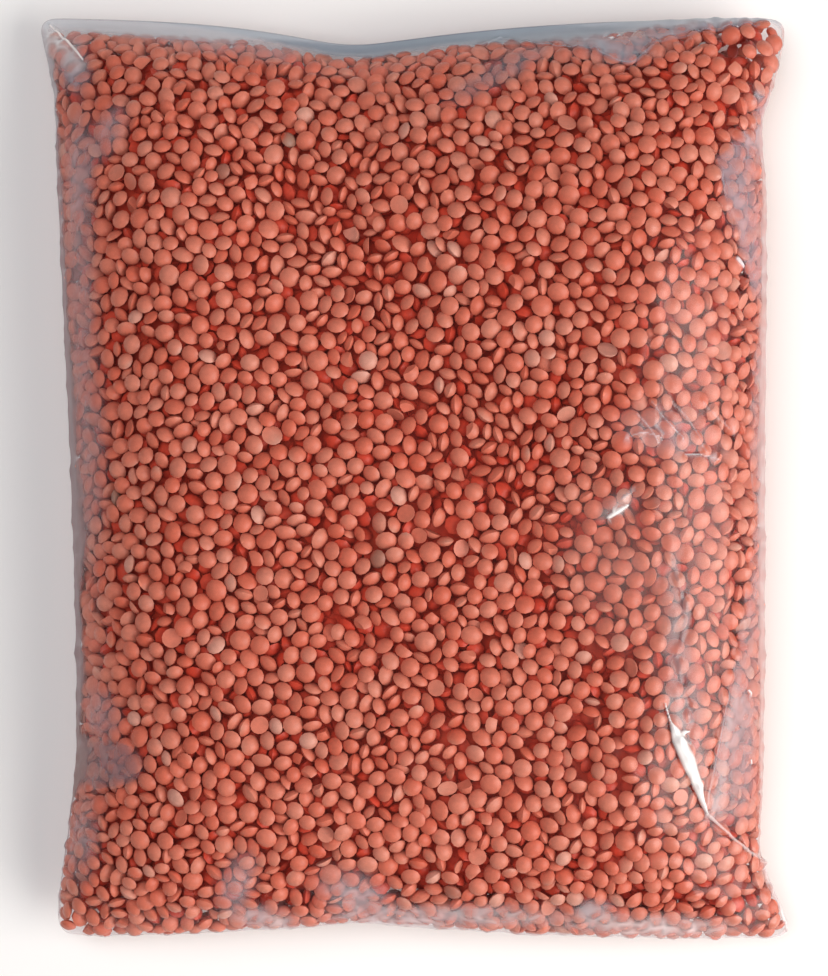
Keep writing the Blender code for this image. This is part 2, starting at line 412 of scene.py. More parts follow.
def merged_copy(node):
    """The node's mesh with its loose triangles sewn together and paired into quads."""
    mesh = bmesh.new()
    mesh.from_mesh(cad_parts[node].data)
    bmesh.ops.remove_doubles(mesh, verts=mesh.verts[:], dist=SEWING_REACH)
    bmesh.ops.join_triangles(
        mesh, faces=mesh.faces[:], angle_face_threshold=MOST_BEND, angle_shape_threshold=MOST_SKEW
    )
    return mesh


def skin_heights(tree, xs, ys, low, high):
    """The heights of the lower and upper skin over each place of a plan grid, or none outside the bag."""
    shape = (len(xs), len(ys))
    lower, upper = np.full(shape, np.inf), np.full(shape, -np.inf)
    down, up = Vector((0, 0, -1)), Vector((0, 0, 1))
    for i, x in enumerate(xs):
        for j, y in enumerate(ys):
            hit = tree.ray_cast(Vector((x, y, high[2] + RAY_START)), down)[0]
            if hit is not None:
                upper[i, j] = hit.z
                lower[i, j] = tree.ray_cast(Vector((x, y, low[2] - RAY_START)), up)[0].z
    return lower, upper


def read_skin():
    """A grid over the bag's box that holds each place's depth under the skin and the way out of the bag."""
    mesh = merged_copy(BAG)
    tree = BVHTree.FromBMesh(mesh)
    mesh.free()
    low, high = (np.array(corner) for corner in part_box(BAG))
    low, high = low - 2 * FIELD_PITCH, high + 2 * FIELD_PITCH
    axes = [low[k] + FIELD_PITCH * np.arange(int((high[k] - low[k]) / FIELD_PITCH) + 2) for k in range(3)]
    lower, upper = skin_heights(tree, axes[0], axes[1], low, high)
    depth = np.empty([len(axis) for axis in axes])
    for (i, x), (j, y), (k, z) in itertools.product(*(enumerate(axis) for axis in axes)):
        far = tree.find_nearest(Vector((x, y, z)))[3]
        depth[i, j, k] = far if lower[i, j] < z < upper[i, j] else -far
    inwards = np.gradient(depth, FIELD_PITCH)
    values = np.stack([depth, *(-part for part in inwards)], axis=-1)
    return SimpleNamespace(low=low, values=values, axes=axes, upper=upper, lower=lower, tree=tree)


def sample(skin, places):
    """Depth under the skin at each place, and the unit way out of the bag."""
    at = (places - skin.low) / FIELD_PITCH
    last = np.array(skin.values.shape[:3]) - 2
    cell = np.clip(np.floor(at).astype(int), 0, last)
    part = np.clip(at - cell, 0, 1)
    found = np.zeros((len(places), 4))
    for corner in itertools.product((0, 1), repeat=3):
        weight = np.prod(np.where(corner, part, 1 - part), axis=1)
        i, j, k = (cell + corner).T
        found += weight[:, None] * skin.values[i, j, k]
    return found[:, 0], unit(found[:, 1:])


# ---- Packing the lentils


def unit(ways):
    """Each way at length 1."""
    return ways / np.maximum(np.linalg.norm(ways, axis=1, keepdims=True), TINY)


def dots(a, b):
    """The dot product of each way of one list with that of the other."""
    return np.einsum("ij,ij->i", a, b)


def close_pairs(these, those, reach):
    """Every pair of one of these places and one of those that lie closer than reach."""
    low = np.minimum(these.min(0), those.min(0)) - reach
    cells_a = np.floor((these - low) / reach).astype(np.int64)
    cells_b = np.floor((those - low) / reach).astype(np.int64)
    size = np.maximum(cells_a.max(0), cells_b.max(0)) + 2
    key_a = (cells_a[:, 0] * size[1] + cells_a[:, 1]) * size[2] + cells_a[:, 2]
    key_b = (cells_b[:, 0] * size[1] + cells_b[:, 1]) * size[2] + cells_b[:, 2]
    order = np.argsort(key_b, kind="stable")
    key_b = key_b[order]
    firsts, seconds = [], []
    for dx, dy, dz in itertools.product((-1, 0, 1), repeat=3):
        wanted = key_a + (dx * size[1] + dy) * size[2] + dz
        start = np.searchsorted(key_b, wanted, "left")
        count = np.searchsorted(key_b, wanted, "right") - start
        first = np.repeat(np.arange(len(these)), count)
        nth = np.arange(len(first)) - np.repeat(np.cumsum(count) - count, count)
        firsts.append(first)
        seconds.append(order[np.repeat(start, count) + nth])
    first, second = np.concatenate(firsts), np.concatenate(seconds)
    near = ((these[first] - those[second]) ** 2).sum(1) < reach**2
    return first[near], second[near]


def touching_distance(axis_a, axis_b, way, width, flatness):
    """How far apart the middles of two flattened round grains are when they touch."""
    chi = (flatness**2 - 1) / (flatness**2 + 1)
    both = chi * dots(axis_a, axis_b)
    to_a, to_b = dots(way, axis_a), dots(way, axis_b)
    spread = (to_a + to_b) ** 2 / (1 + both) + (to_a - to_b) ** 2 / (1 - both)
    return width / np.sqrt(1 - chi / 2 * spread)


def half_extent(grains, way):
    """How far each grain reaches from its middle along a way."""
    along = dots(grains.axis, way) ** 2
    return grains.radius * np.sqrt((1 - along) + grains.flatness**2 * along)


def away_from(places, start, end):
    """How far each place is from a straight piece in plan, and its share of the way along that piece."""
    run, away = end - start, places - start
    free = away @ run / (run @ run)
    return np.linalg.norm(away - np.clip(free, 0, 1)[:, None] * run, axis=1), free


def valley_share(place):
    """1 in the middle of the slanting valley, falling to nothing beside it."""
    away, _ = away_from(place[:, :2], np.array(VALLEY_FROM), np.array(VALLEY_TO))
    return np.exp(-((away / VALLEY_WIDTH) ** 2)) * (place[:, 2] > VALLEY_ABOVE)


def scatter_grains(skin, random):
    """Grains thrown at random into the shell under the film, leaning towards lying flat on it."""
    size = np.array([len(axis) - 1 for axis in skin.axes]) * FIELD_PITCH
    grain_volume = 4 / 3 * math.pi * LENTIL_RADIUS**3 * LENTIL_FLATNESS
    tries = random.random((int(np.prod(size) * PACKED_SHARE / grain_volume), 3))
    place = skin.low + size * tries
    depth, out = sample(skin, place)
    kept = (depth > LENTIL_RADIUS * LENTIL_FLATNESS) & (depth < SHELL_DEPTH)
    place, out = place[kept], out[kept]
    count = len(place)
    radius = np.clip(random.normal(LENTIL_RADIUS, LENTIL_RADIUS_SPREAD, count), *LENTIL_RADIUS_RANGE)
    flatness = np.clip(
        random.normal(LENTIL_FLATNESS, LENTIL_FLATNESS_SPREAD, count), *LENTIL_FLATNESS_RANGE
    )
    lean = LIE_FLAT * (1 - valley_share(place))[:, None] * random.choice((-1, 1), (count, 1))
    axis = unit(random.normal(size=(count, 3)) + lean * out)
    return SimpleNamespace(place=place, axis=axis, radius=radius, flatness=flatness)


def settle(grains, skin):
    """Pushes the grains apart and against the film until they lie packed, turning them where they touch."""
    count = len(grains.place)
    flatten = FLATTENING * (1 - valley_share(grains.place))
    for step in range(ROUNDS):
        if step % PAIRS_LAST == 0:
            reach = 2 * LENTIL_RADIUS_RANGE[1] + PAIR_MARGIN
            first, second = close_pairs(grains.place, grains.place, reach)
            once = first < second
            first, second = first[once], second[once]
        apart = grains.place[second] - grains.place[first]
        distance = np.maximum(np.linalg.norm(apart, axis=1), TINY)
        way = apart / distance[:, None]
        width = grains.radius[first] + grains.radius[second]
        flatness = (grains.flatness[first] + grains.flatness[second]) / 2
        axis_a, axis_b = grains.axis[first], grains.axis[second]
        overlap = touching_distance(axis_a, axis_b, way, width, flatness) - distance
        hit = overlap > 0
        overlap, way, axis_a, axis_b = overlap[hit], way[hit], axis_a[hit], axis_b[hit]
        a, b = first[hit], second[hit]
        push = PUSH * overlap[:, None] * way
        turn = TURNING * (overlap / LENTIL_RADIUS)[:, None] * way
        turn_a, turn_b = turn * dots(way, axis_a)[:, None], turn * dots(way, axis_b)[:, None]
        move, spin = np.zeros((count, 3)), np.zeros((count, 3))
        for k in range(3):
            move[:, k] = np.bincount(b, push[:, k], count) - np.bincount(a, push[:, k], count)
            spin[:, k] = np.bincount(a, turn_a[:, k], count) + np.bincount(b, turn_b[:, k], count)
        still = 1 - step / ROUNDS
        depth, out = sample(skin, grains.place)
        move += PRESS * still * out
        grains.place += move
        grains.axis = unit(grains.axis + spin)
        depth, out = sample(skin, grains.place)
        past = np.maximum(half_extent(grains, out) + FILM_GAP - depth, 0)
        grains.place -= past[:, None] * out
        tilt = flatten * past / LENTIL_RADIUS * np.sign(dots(grains.axis, out))
        grains.axis = unit(grains.axis + tilt[:, None] * out)
        sunk = np.maximum(depth - SHELL_DEPTH, 0)
        grains.place += sunk[:, None] * out
    grains.depth, grains.out = sample(skin, grains.place)
    return choose(grains, ~standing_out(grains, skin))


def standing_out(grains, skin):
    """Which grains the skin can't hold, as in the sharp tips of the ears."""
    found = [skin.tree.find_nearest(Vector(place)) for place in grains.place]
    away = np.array([(spot - Vector(place))[:] for place, (spot, *_) in zip(grains.place, found)])
    distance = np.linalg.norm(away, axis=1)
    way = unit(away)
    facing_out = dots(way, np.array([normal[:] for _, normal, *_ in found])) > 0
    room = np.where(facing_out, distance, -distance)
    return half_extent(grains, way) - room > MOST_STANDING_OUT


def press_outwards(grains):
    """Stretches the outer part of the filling up to the outline, where the film is thinnest."""
    sides = outline_sides()
    plan = grains.place[:, :2].copy()
    for side, axis, sign in (("left", 0, -1), ("right", 0, 1), ("foot", 1, -1), ("top", 1, 1)):
        inset = inset_from(plan, sides[side])
        room = np.clip(inset - HELD_IN * grains.radius, 0, EDGE_SHIFT)
        share = np.clip(1 - inset / EDGE_REACH, 0, 1) ** EDGE_FADE
        if side == "top":
            share *= np.clip((plan[:, 0] - TOP_FILLED_FROM) / FILLED_RAMP, 0, 1)
        if side in ("left", "right"):
            share *= np.clip((np.abs(plan[:, 1]) - SIDE_FILLED_FROM) / FILLED_RAMP, 0, 1)
        grains.place[:, axis] += sign * room * share


def choose(grains, chosen):
    """The chosen grains as a set of their own."""
    return SimpleNamespace(**{name: value[chosen] for name, value in vars(grains).items()})


# ---- Meshes of many grains


def arrays_of(mesh):
    """A small bmesh as arrays: its points, each face's corners, and which faces are shaded smooth."""
    bmesh.ops.recalc_face_normals(mesh, faces=mesh.faces[:])
    mesh.verts.index_update()
    points = np.array([vertex.co for vertex in mesh.verts])
    faces = [[vertex.index for vertex in face.verts] for face in mesh.faces]
    smooth = [face.smooth for face in mesh.faces]
    mesh.free()
    return points, faces, smooth


def lentil_form(around, rings):
    """One whole lentil of radius 1 and half thickness 1: two domed faces that meet at a blunt rim."""
    mesh = bmesh.new()
    bmesh.ops.create_uvsphere(mesh, u_segments=around, v_segments=rings, radius=1.0)
    for vertex in mesh.verts:
        from_middle = min(math.hypot(vertex.co.x, vertex.co.y), 1.0)
        height = (1 - from_middle**DOME_POWER) ** RIM_SHARPNESS
        vertex.co.z = math.copysign(height, vertex.co.z) if abs(vertex.co.z) > ON_RIM else 0.0
    for face in mesh.faces:
        face.smooth = True
    return mesh


def cut_form(mesh, point, way):
    """Cuts a form with a plane, takes away the side that the plane faces, and closes it with a flat face."""
    geometry = mesh.verts[:] + mesh.edges[:] + mesh.faces[:]
    bmesh.ops.bisect_plane(mesh, geom=geometry, plane_co=point, plane_no=way, clear_outer=True)
    open_edges = [edge for edge in mesh.edges if edge.is_boundary]
    for face in bmesh.ops.contextual_create(mesh, geom=open_edges)["faces"]:
        face.smooth = False


def lentil(fineness, cuts=()):
    """A lentil as arrays: whole, or with the side that each of its cuts faces taken away."""
    mesh = lentil_form(*fineness)
    for point, way in cuts:
        cut_form(mesh, point, way)
    return arrays_of(mesh)


def turned_bases(grains, random):
    """Three axes for each grain: two across its face, in a random turn, and one through it."""
    upright = np.abs(grains.axis[:, 2:]) >= STEEP
    helper = np.where(upright, [[1.0, 0.0, 0.0]], [[0.0, 0.0, 1.0]])
    side = unit(np.cross(grains.axis, helper))
    other = np.cross(grains.axis, side)
    angle = random.uniform(0, 2 * math.pi, (len(side), 1))
    across = np.cos(angle) * side + np.sin(angle) * other
    return across, np.cross(grains.axis, across), grains.axis


def joined_mesh(name, shape, grains, random):
    """One mesh that holds a copy of the shape for each grain, with its shade as an attribute."""
    points, faces, smooth = shape
    across, along, through = turned_bases(grains, random)
    count, each = len(grains.place), len(points)
    squash = random.normal(1.0, OVALNESS, (count, 1, 1))
    wide = points[None, :, 0:1] * grains.radius[:, None, None] * squash
    deep = points[None, :, 1:2] * grains.radius[:, None, None] / squash
    thick = points[None, :, 2:3] * (grains.radius * grains.flatness)[:, None, None]
    spots = grains.place[:, None] + wide * across[:, None] + deep * along[:, None]
    spots = spots + thick * through[:, None]
    mesh = bpy.data.meshes.new(name)
    mesh.vertices.add(count * each)
    mesh.vertices.foreach_set("co", spots.astype(np.float32).ravel())
    corners = np.array([corner for face in faces for corner in face])
    sizes = np.array([len(face) for face in faces])
    starts = np.cumsum(sizes) - sizes
    mesh.loops.add(count * len(corners))
    mesh.loops.foreach_set(
        "vertex_index", (np.arange(count)[:, None] * each + corners).astype(np.int32).ravel()
    )
    mesh.polygons.add(count * len(faces))
    mesh.polygons.foreach_set(
        "loop_start", (np.arange(count)[:, None] * len(corners) + starts).astype(np.int32).ravel()
    )
    mesh.polygons.foreach_set("use_smooth", np.tile(smooth, count))
    mesh.update(calc_edges=True)
    ends = np.empty(len(mesh.edges) * 2, np.int32)
    mesh.edges.foreach_get("vertices", ends)
    on_rim = np.abs(points[ends % each, 2]).reshape(-1, 2).max(axis=1) < ON_RIM
    mesh.attributes.new("sharp_edge", "BOOLEAN", "EDGE").data.foreach_set("value", on_rim)
    shade = mesh.attributes.new("grain_shade", "FLOAT", "POINT")
    worn = np.clip(random.normal(0, WORN_SPREAD, (count, 1)), 0, MOST_WORN)
    worn = worn * np.clip(points[None, :, 0], 0, 1) ** WORN_FADE
    shade.data.foreach_set("value", np.clip(grains.shade[:, None] + worn, 0, 1).astype(np.float32).ravel())
    mesh.validate()
    return mesh


def add_piece(name, mesh, material):
    """Links a finished mesh as a piece of the bag."""
    piece = bpy.data.objects.new(name, mesh)
    mesh.materials.append(material)
    bpy.context.scene.collection.objects.link(piece)
    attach(piece, ROOT)
    return piece


# ---- Materials


def linear(hex_colour):
    """An sRGB hex colour as a linear one."""
    parts = [int(hex_colour[i : i + 2], 16) / 255 for i in (1, 3, 5)]
    return [(c / 12.92 if c <= 0.04045 else ((c + 0.055) / 1.055) ** 2.4) for c in parts] + [1.0]


def add_node(tree, kind, settings=(), inputs=(), links=()):
    """Adds a shader node, with its settings, its sockets' values and what is plugged into them."""
    node = tree.nodes.new(kind)
    for name, value in dict(settings).items():
        setattr(node, name, value)
    for name, value in dict(inputs).items():
        node.inputs[name].default_value = value
    for name, socket in dict(links).items():
        tree.links.new(socket, node.inputs[name])
    return node


def add_math(tree, operation, *terms):
    """Adds a sum over numbers and sockets, and returns the socket with its result."""
    node = add_node(tree, "ShaderNodeMath", {"operation": operation})
    for socket, term in zip(node.inputs, terms):
        if isinstance(term, bpy.types.NodeSocket):
            tree.links.new(term, socket)
        else:
            socket.default_value = term
    return node.outputs["Value"]


def show(tree, shader):
    """Makes this shader the material's surface."""
    add_node(tree, "ShaderNodeOutputMaterial", links={"Surface": shader})


def show_plain(tree, inputs, links=()):
    """Makes one ordinary shader, with these values and links, the material's surface."""
    shader = add_node(tree, "ShaderNodeBsdfPrincipled", inputs=inputs, links=links)
    show(tree, shader.outputs["BSDF"])


def plug_in(tree, mixer, first, second):
    """Plugs the two shaders that a mix is made of into it."""
    tree.links.new(first, mixer.inputs[1])
    tree.links.new(second, mixer.inputs[2])


def new_material(name):
    """A material with an empty node tree, and that tree."""
    material = bpy.data.materials.new(name)
    material.use_nodes = True
    material.node_tree.nodes.clear()
    return material, material.node_tree


def lentil_material(name, stops):
    """Dry red lentils: dull, smooth and mottled, each a little redder, paler or browner than the next."""
    material, tree = new_material(name)
    shade = add_node(tree, "ShaderNodeAttribute", {"attribute_name": "grain_shade"})
    ramp = add_node(tree, "ShaderNodeValToRGB", links={"Fac": shade.outputs["Fac"]})
    ramp.color_ramp.elements.remove(ramp.color_ramp.elements[1])
    ramp.color_ramp.elements[0].position = 0.0
    ramp.color_ramp.elements[0].color = linear(stops[0][1])
    for position, colour in stops[1:]:
        ramp.color_ramp.elements.new(position).color = linear(colour)
    place = add_node(tree, "ShaderNodeTexCoord")
    mottle = add_node(tree, "ShaderNodeTexNoise", inputs=MOTTLE, links={"Vector": place.outputs["Object"]})
    tone = add_node(tree, "ShaderNodeMapRange", inputs=MOTTLE_TONES, links={"Value": mottle.outputs["Fac"]})
    settings = {"data_type": "RGBA", "blend_type": "MULTIPLY"}
    tinted = add_node(tree, "ShaderNodeMix", settings, {"Factor": 1.0})
    tree.links.new(ramp.outputs["Color"], tinted.inputs["A"])
    tree.links.new(tone.outputs["Result"], tinted.inputs["B"])
    finish = {"Roughness": LENTIL_ROUGHNESS, "IOR": LENTIL_IOR}
    show_plain(tree, finish, {"Base Color": tinted.outputs["Result"]})
    return material


def floor_material():
    """A plain pale table top: matt, so that it shows the bag's soft shadow and nothing else."""
    material, tree = new_material("pale matt table")
    show_plain(tree, {"Base Color": linear(FLOOR_COLOUR), "Roughness": FLOOR_ROUGHNESS})
    return material


# ---- The film


def smooth_skin():
    """The frame's skin as a fine smooth mesh, with its quads subdivided."""
    coarse = merged_copy(BAG)
    data = bpy.data.meshes.new("film")
    coarse.to_mesh(data)
    coarse.free()
    cage = bpy.data.objects.new("film_cage", data)
    bpy.context.scene.collection.objects.link(cage)
    rounding = cage.modifiers.new("rounding", "SUBSURF")
    rounding.levels = rounding.render_levels = FILM_LEVELS
    graph = bpy.context.evaluated_depsgraph_get()
    mesh = bpy.data.meshes.new_from_object(cage.evaluated_get(graph), depsgraph=graph)
    bpy.data.objects.remove(cage)
    mesh.name = "film"
    return mesh


def vectors(items, name):
    """One vector property of all these items, as an array."""
    found = np.empty(len(items) * 3, np.float32)
    items.foreach_get(name, found)
    return found.reshape(-1, 3).astype(float)


def grain_tops(points, normals, grains):
    """How far out along the film's normal the highest grain surface lies, seen from each film point."""
    point, grain = close_pairs(points, grains.place, GRAIN_SEARCH)
    away = points[point] - grains.place[grain]
    way, axis = normals[point], grains.axis[grain]
    radius = grains.radius[grain] + FILM_CLEARANCE
    half = grains.radius[grain] * grains.flatness[grain] + FILM_CLEARANCE
    away_in, way_in = dots(away, axis), dots(way, axis)
    a = (1 - way_in**2) / radius**2 + way_in**2 / half**2
    b = (dots(away, way) - away_in * way_in) / radius**2 + away_in * way_in / half**2
    c = (dots(away, away) - away_in**2) / radius**2 + away_in**2 / half**2 - 1
    inside = b * b - a * c
    meets = inside > 0
    top = (-b[meets] + np.sqrt(inside[meets])) / a[meets]
    highest = np.full(len(points), -FILM_SAG_LIMIT)
    np.maximum.at(highest, point[meets], top)
    return highest


def drape(mesh, grains):
    """Lets the film cling to the grains: it lies on their tops and sags a little between them.

    Returns the film's points and normals, how far out each point is moved, and how far out the grain under
    it reaches.
    """
    points, normals = vectors(mesh.vertices, "co"), vectors(mesh.vertex_normals, "vector")
    ends = np.empty(len(mesh.edges) * 2, np.int32)
    mesh.edges.foreach_get("vertices", ends)
    a, b = ends.reshape(-1, 2).T
    links = np.bincount(a, minlength=len(points)) + np.bincount(b, minlength=len(points))
    resting = grain_tops(points, normals, grains)
    level = resting.copy()
    for _ in range(FILM_ROUNDS):
        beside = np.bincount(a, level[b], len(points)) + np.bincount(b, level[a], len(points))
        level = np.maximum(resting, beside / links)
    return points, normals, level, resting


def smooth_path(points):
    """The points of a fold as a fine smooth line through them, with each new point's share along it."""
    points = [Vector((x * MM, y * MM, 0)) for x, y in points]
    ends = [points[0] * 2 - points[1], *points, points[-1] * 2 - points[-2]]
    line, shares = [], []
    for i in range(len(points) - 1):
        before, start, end, after = ends[i : i + 4]
        slope = end - before
        bend = 2 * before - 5 * start + 4 * end - after
        twist = 3 * start - before - 3 * end + after
        for k in range(PATH_STEPS + (i == len(points) - 2)):
            t = k / PATH_STEPS
            line.append(start + (slope * t + bend * t**2 + twist * t**3) / 2)
            shares.append(i + t)
    return np.array([point[:2] for point in line]), np.array(shares)


def nearest_on_line(places, line):
    """How far each place is from a line in plan, where along its points, and on which side of its run.

    The side is 1 to the left and -1 to the right, and fades to 0 past either end.
    """
    best = np.full(len(places), np.inf)
    where, side = np.zeros(len(places)), np.zeros(len(places))
    last = len(line) - 2
    for k, (start, end) in enumerate(zip(line[:-1], line[1:])):
        run, away = end - start, places - start
        far, free = away_from(places, start, end)
        past = np.maximum(-free * (k == 0), (free - 1) * (k == last)).clip(0) * math.sqrt(run @ run)
        turned = np.sign(run[0] * away[:, 1] - run[1] * away[:, 0]) * np.exp(-((past / SKIRT_FADE) ** 2))
        nearer = far < best
        best[nearer] = far[nearer]
        where[nearer] = k + np.clip(free, 0, 1)[nearer]
        side[nearer] = turned[nearer]
    return best, where, side


def fold_reach(fold, places):
    """Each place's distance from the fold's line, the fold's half width there, and the side it lies on."""
    line, shares = smooth_path(fold.points)
    away, where, side = nearest_on_line(places, line)
    share = np.interp(where, np.arange(len(line)), shares)
    return away, np.interp(share, np.arange(len(fold.widths)), fold.widths) * MM, side


def outline_sides():
    """The bag's outline in plan as straight pieces, sorted into its left, right, top and foot edges."""
    mesh = merged_copy(BAG)
    mesh.normal_update()
    sides = {"left": [], "right": [], "top": [], "foot": []}
    for edge in {edge for face in mesh.faces if abs(face.normal.z) < UPRIGHT for edge in face.edges}:
        start, end = (np.array(vertex.co[:2]) for vertex in edge.verts)
        if np.linalg.norm(end - start) < SHORT_EDGE:
            continue
        middle, run = (start + end) / 2, np.abs(end - start)
        if run[1] > run[0]:
            sides["right" if middle[0] > 0 else "left"].append((start, end))
        else:
            sides["top" if middle[1] > 0 else "foot"].append((start, end))
    mesh.free()
    return {side: np.array(pieces) for side, pieces in sides.items()}


def inset_from(places, pieces):
    """How far each place lies in from an edge of the outline, in plan."""
    best = np.full(len(places), np.inf)
    for start, end in pieces:
        best = np.minimum(best, away_from(places, start, end)[0])
    return best


def refine_folds(mesh):
    """Cuts the film's faces smaller along the folds, so that they can stand up sharply."""
    places = np.array([vertex.co[:2] for vertex in mesh.verts])
    near = np.zeros(len(places), bool)
    for fold in FOLDS:
        away, width, _ = fold_reach(fold, places)
        near |= away < width + FOLD_MARGIN
    near &= np.array([vertex.normal.z > FACING_UP for vertex in mesh.verts])
    mesh.verts.ensure_lookup_table()
    edges = [edge for edge in mesh.edges if all(near[vertex.index] for vertex in edge.verts)]
    bmesh.ops.subdivide_edges(mesh, edges=edges, cuts=FOLD_CUTS, use_grid_fill=True)


def lay_over(colours, milk, colour):
    """Lays one more layer of milkiness, with any painted light in it, over the colours that the film already
    has at each point.
    """
    left = colours[:, 3:] * (1 - milk[:, None])
    total = left + milk[:, None]
    layer = np.array(linear(colour)[:3])
    colours[:, :3] = (colours[:, :3] * left + layer * milk[:, None]) / np.maximum(total, TINY)
    colours[:, 3:] = total


def clouds(points):
    """Uneven values about 1, for the cloudy look of slack film."""
    values = np.array([1 + CLOUDINESS * noise.noise(Vector(point) / CLOUD_SIZE) for point in points])
    return np.clip(values, 0, 2)


def patch_fade(patch, plan):
    """1 in the middle of a milky place, falling to nothing at its rim."""
    turn = math.radians(patch.turn)
    away = plan - np.array(patch.at) * MM
    u = (away[:, 0] * math.cos(turn) + away[:, 1] * math.sin(turn)) / (patch.reach[0] * MM)
    v = (away[:, 1] * math.cos(turn) - away[:, 0] * math.sin(turn)) / (patch.reach[1] * MM)
    return np.exp(-((u * u + v * v) ** PATCH_FADE))


def haze_and_painted_light_colours(points, normals, level, resting):
    """The film's milkiness and colour at each point, from its milky places, its edges and its folds, with
    the painted highlights, reflections and shade among them.

    They are laid down as seen from above, and the milkiness is then turned into that of a straight look.
    """
    colours = np.zeros((len(points), 4))
    colours[:, :3] = linear(CLEAR_COLOUR)[:3]
    plan = points[:, :2]
    over = np.clip(normals[:, 2] * WALL_MILK, 0, 1)
    cloudy = clouds(points)
    slack = TOUCHING_MILK + SLACK_MILK * np.clip((level - resting) / SLACK_GAP, 0, 1)
    for patch in PATCHES:
        milk = patch.milk * patch_fade(patch, plan) * over * slack * (1 + PATCH_CLOUDS * (cloudy - 1))
        lay_over(colours, np.clip(milk, 0, MOST_MILK_AND_LIGHT), patch.colour)
    insets = {side: inset_from(plan, pieces) for side, pieces in outline_sides().items()}
    for edge in EDGES:
        along = plan[:, 1] if edge.side in ("left", "right") else plan[:, 0]
        reach = np.exp(-(((along / MM - edge.middle) / edge.length) ** 2))
        width = np.maximum(edge.width * MM * reach * (1 + EDGE_CLOUDS * (cloudy - 1)), LEAST_BAND)
        milk = edge.milk * np.clip(EDGE_SOLIDITY * (1 - insets[edge.side] / width), 0, 1)
        lay_over(colours, milk * (normals[:, 2] > EDGE_UNDER), edge.colour)
    for fold in FOLDS:
        away, width, side = fold_reach(fold, plan)
        reach, skirt_milk_and_light = fold.skirt
        if reach:
            far = away / MM + SKIRT_WANDER * (cloudy - 1)
            fade = np.clip(1 - far / abs(reach), 0, 1) ** SKIRT_POWER * np.clip(far / SKIRT_SOFTNESS, 0, 1)
            on_side = np.clip(side * np.sign(reach), 0, 1)
            milk = skirt_milk_and_light * fade * on_side * over * slack * (1 + SKIRT_CLOUDS * (cloudy - 1))
            lay_over(colours, milk, fold.colour)
        milk = fold.milk * np.clip(FOLD_MILK_AND_LIGHT - FOLD_MILK_AND_LIGHT_FADE * away / width, 0, 1) * over
        lay_over(colours, milk, fold.colour)
    straight = THROUGH_FILM + (1 - THROUGH_FILM) * np.clip(normals[:, 2], 0, 1)
    colours[:, 3] = 1 - (1 - np.clip(colours[:, 3], 0, 1)) ** straight
    return colours


def film_mesh(grains):
    """The film: the frame's skin, draped over the grains and raised along its folds."""
    mesh = smooth_skin()
    fine = bmesh.new()
    fine.from_mesh(mesh)
    fine.normal_update()
    refine_folds(fine)
    fine.to_mesh(mesh)
    fine.free()
    points, normals, level, resting = drape(mesh, grains)
    for fold in FOLDS:
        away, width, _ = fold_reach(fold, points[:, :2])
        ridge = np.clip(1 - away / (FOLD_FOOT * width), 0, 1)
        level += fold.rise * MM * ridge * (normals[:, 2] > FACING_UP)
    mesh.vertices.foreach_set("co", (points + level[:, None] * normals).astype(np.float32).ravel())
    mesh.polygons.foreach_set("use_smooth", np.ones(len(mesh.polygons), bool))
    mesh.update()
    haze_and_painted_light = mesh.attributes.new("film_haze", "FLOAT_COLOR", "POINT")
    colours = haze_and_painted_light_colours(points, normals, level, resting)
    haze_and_painted_light.data.foreach_set("color", colours.astype(np.float32).ravel())
    return mesh


def film_material():
    """Blown polythene film: clear and glossy, milky where it is creased or stands off the grains, and
    showing the painted highlights, reflections and shade laid into its milky colours.
    """
    material, tree = new_material("clear polythene film")
    haze_and_painted_light = add_node(tree, "ShaderNodeAttribute", {"attribute_name": "film_haze"})
    clear = add_node(tree, "ShaderNodeBsdfTransparent", inputs={"Color": linear(FILM_TINT)})
    milky = add_node(
        tree,
        "ShaderNodeBsdfPrincipled",
        inputs={"Roughness": MILK_ROUGHNESS, "IOR": FILM_IOR},
        links={"Base Color": haze_and_painted_light.outputs["Color"]},
    )
    facing = add_node(tree, "ShaderNodeLayerWeight", inputs={"Blend": 0.5})
    straight = add_node(
        tree,
        "ShaderNodeMapRange",
        inputs={"To Min": 1.0, "To Max": THROUGH_FILM},
        links={"Value": facing.outputs["Facing"]},
    )
    path = add_math(tree, "DIVIDE", 1.0, straight.outputs["Result"])
    clearness = add_math(tree, "SUBTRACT", 1.0, haze_and_painted_light.outputs["Alpha"])
    let_through = add_math(tree, "POWER", clearness, path)
    milkiness = add_math(tree, "SUBTRACT", 1.0, let_through)
    body = add_node(tree, "ShaderNodeMixShader", links={"Fac": milkiness})
    plug_in(tree, body, clear.outputs["BSDF"], milky.outputs["BSDF"])
    gloss = add_node(tree, "ShaderNodeBsdfGlossy", inputs={"Roughness": GLOSS_ROUGHNESS})
    gloss.inputs["Color"].default_value = linear("#ffffff")
    grazing = add_math(tree, "POWER", facing.outputs["Facing"], GRAZING_POWER)
    mirror = add_math(tree, "MULTIPLY_ADD", grazing, GLOSS_GRAZING, GLOSS_HEAD_ON)
    surface = add_node(tree, "ShaderNodeMixShader", links={"Fac": mirror})
    plug_in(tree, surface, body.outputs["Shader"], gloss.outputs["BSDF"])
    show(tree, surface.outputs["Shader"])
    return material


# ---- The bed of deeper grains


def between(grid, axes, x, y):
    """A plan grid's value at a place, from its four nearest corners."""
    i, j = (x - axes[0][0]) / FIELD_PITCH, (y - axes[1][0]) / FIELD_PITCH
    i0, j0 = int(i), int(j)
    s, t = i - i0, j - j0
    near = grid[i0, j0] * (1 - t) + grid[i0, j0 + 1] * t
    far = grid[i0 + 1, j0] * (1 - t) + grid[i0 + 1, j0 + 1] * t
    return near * (1 - s) + far * s


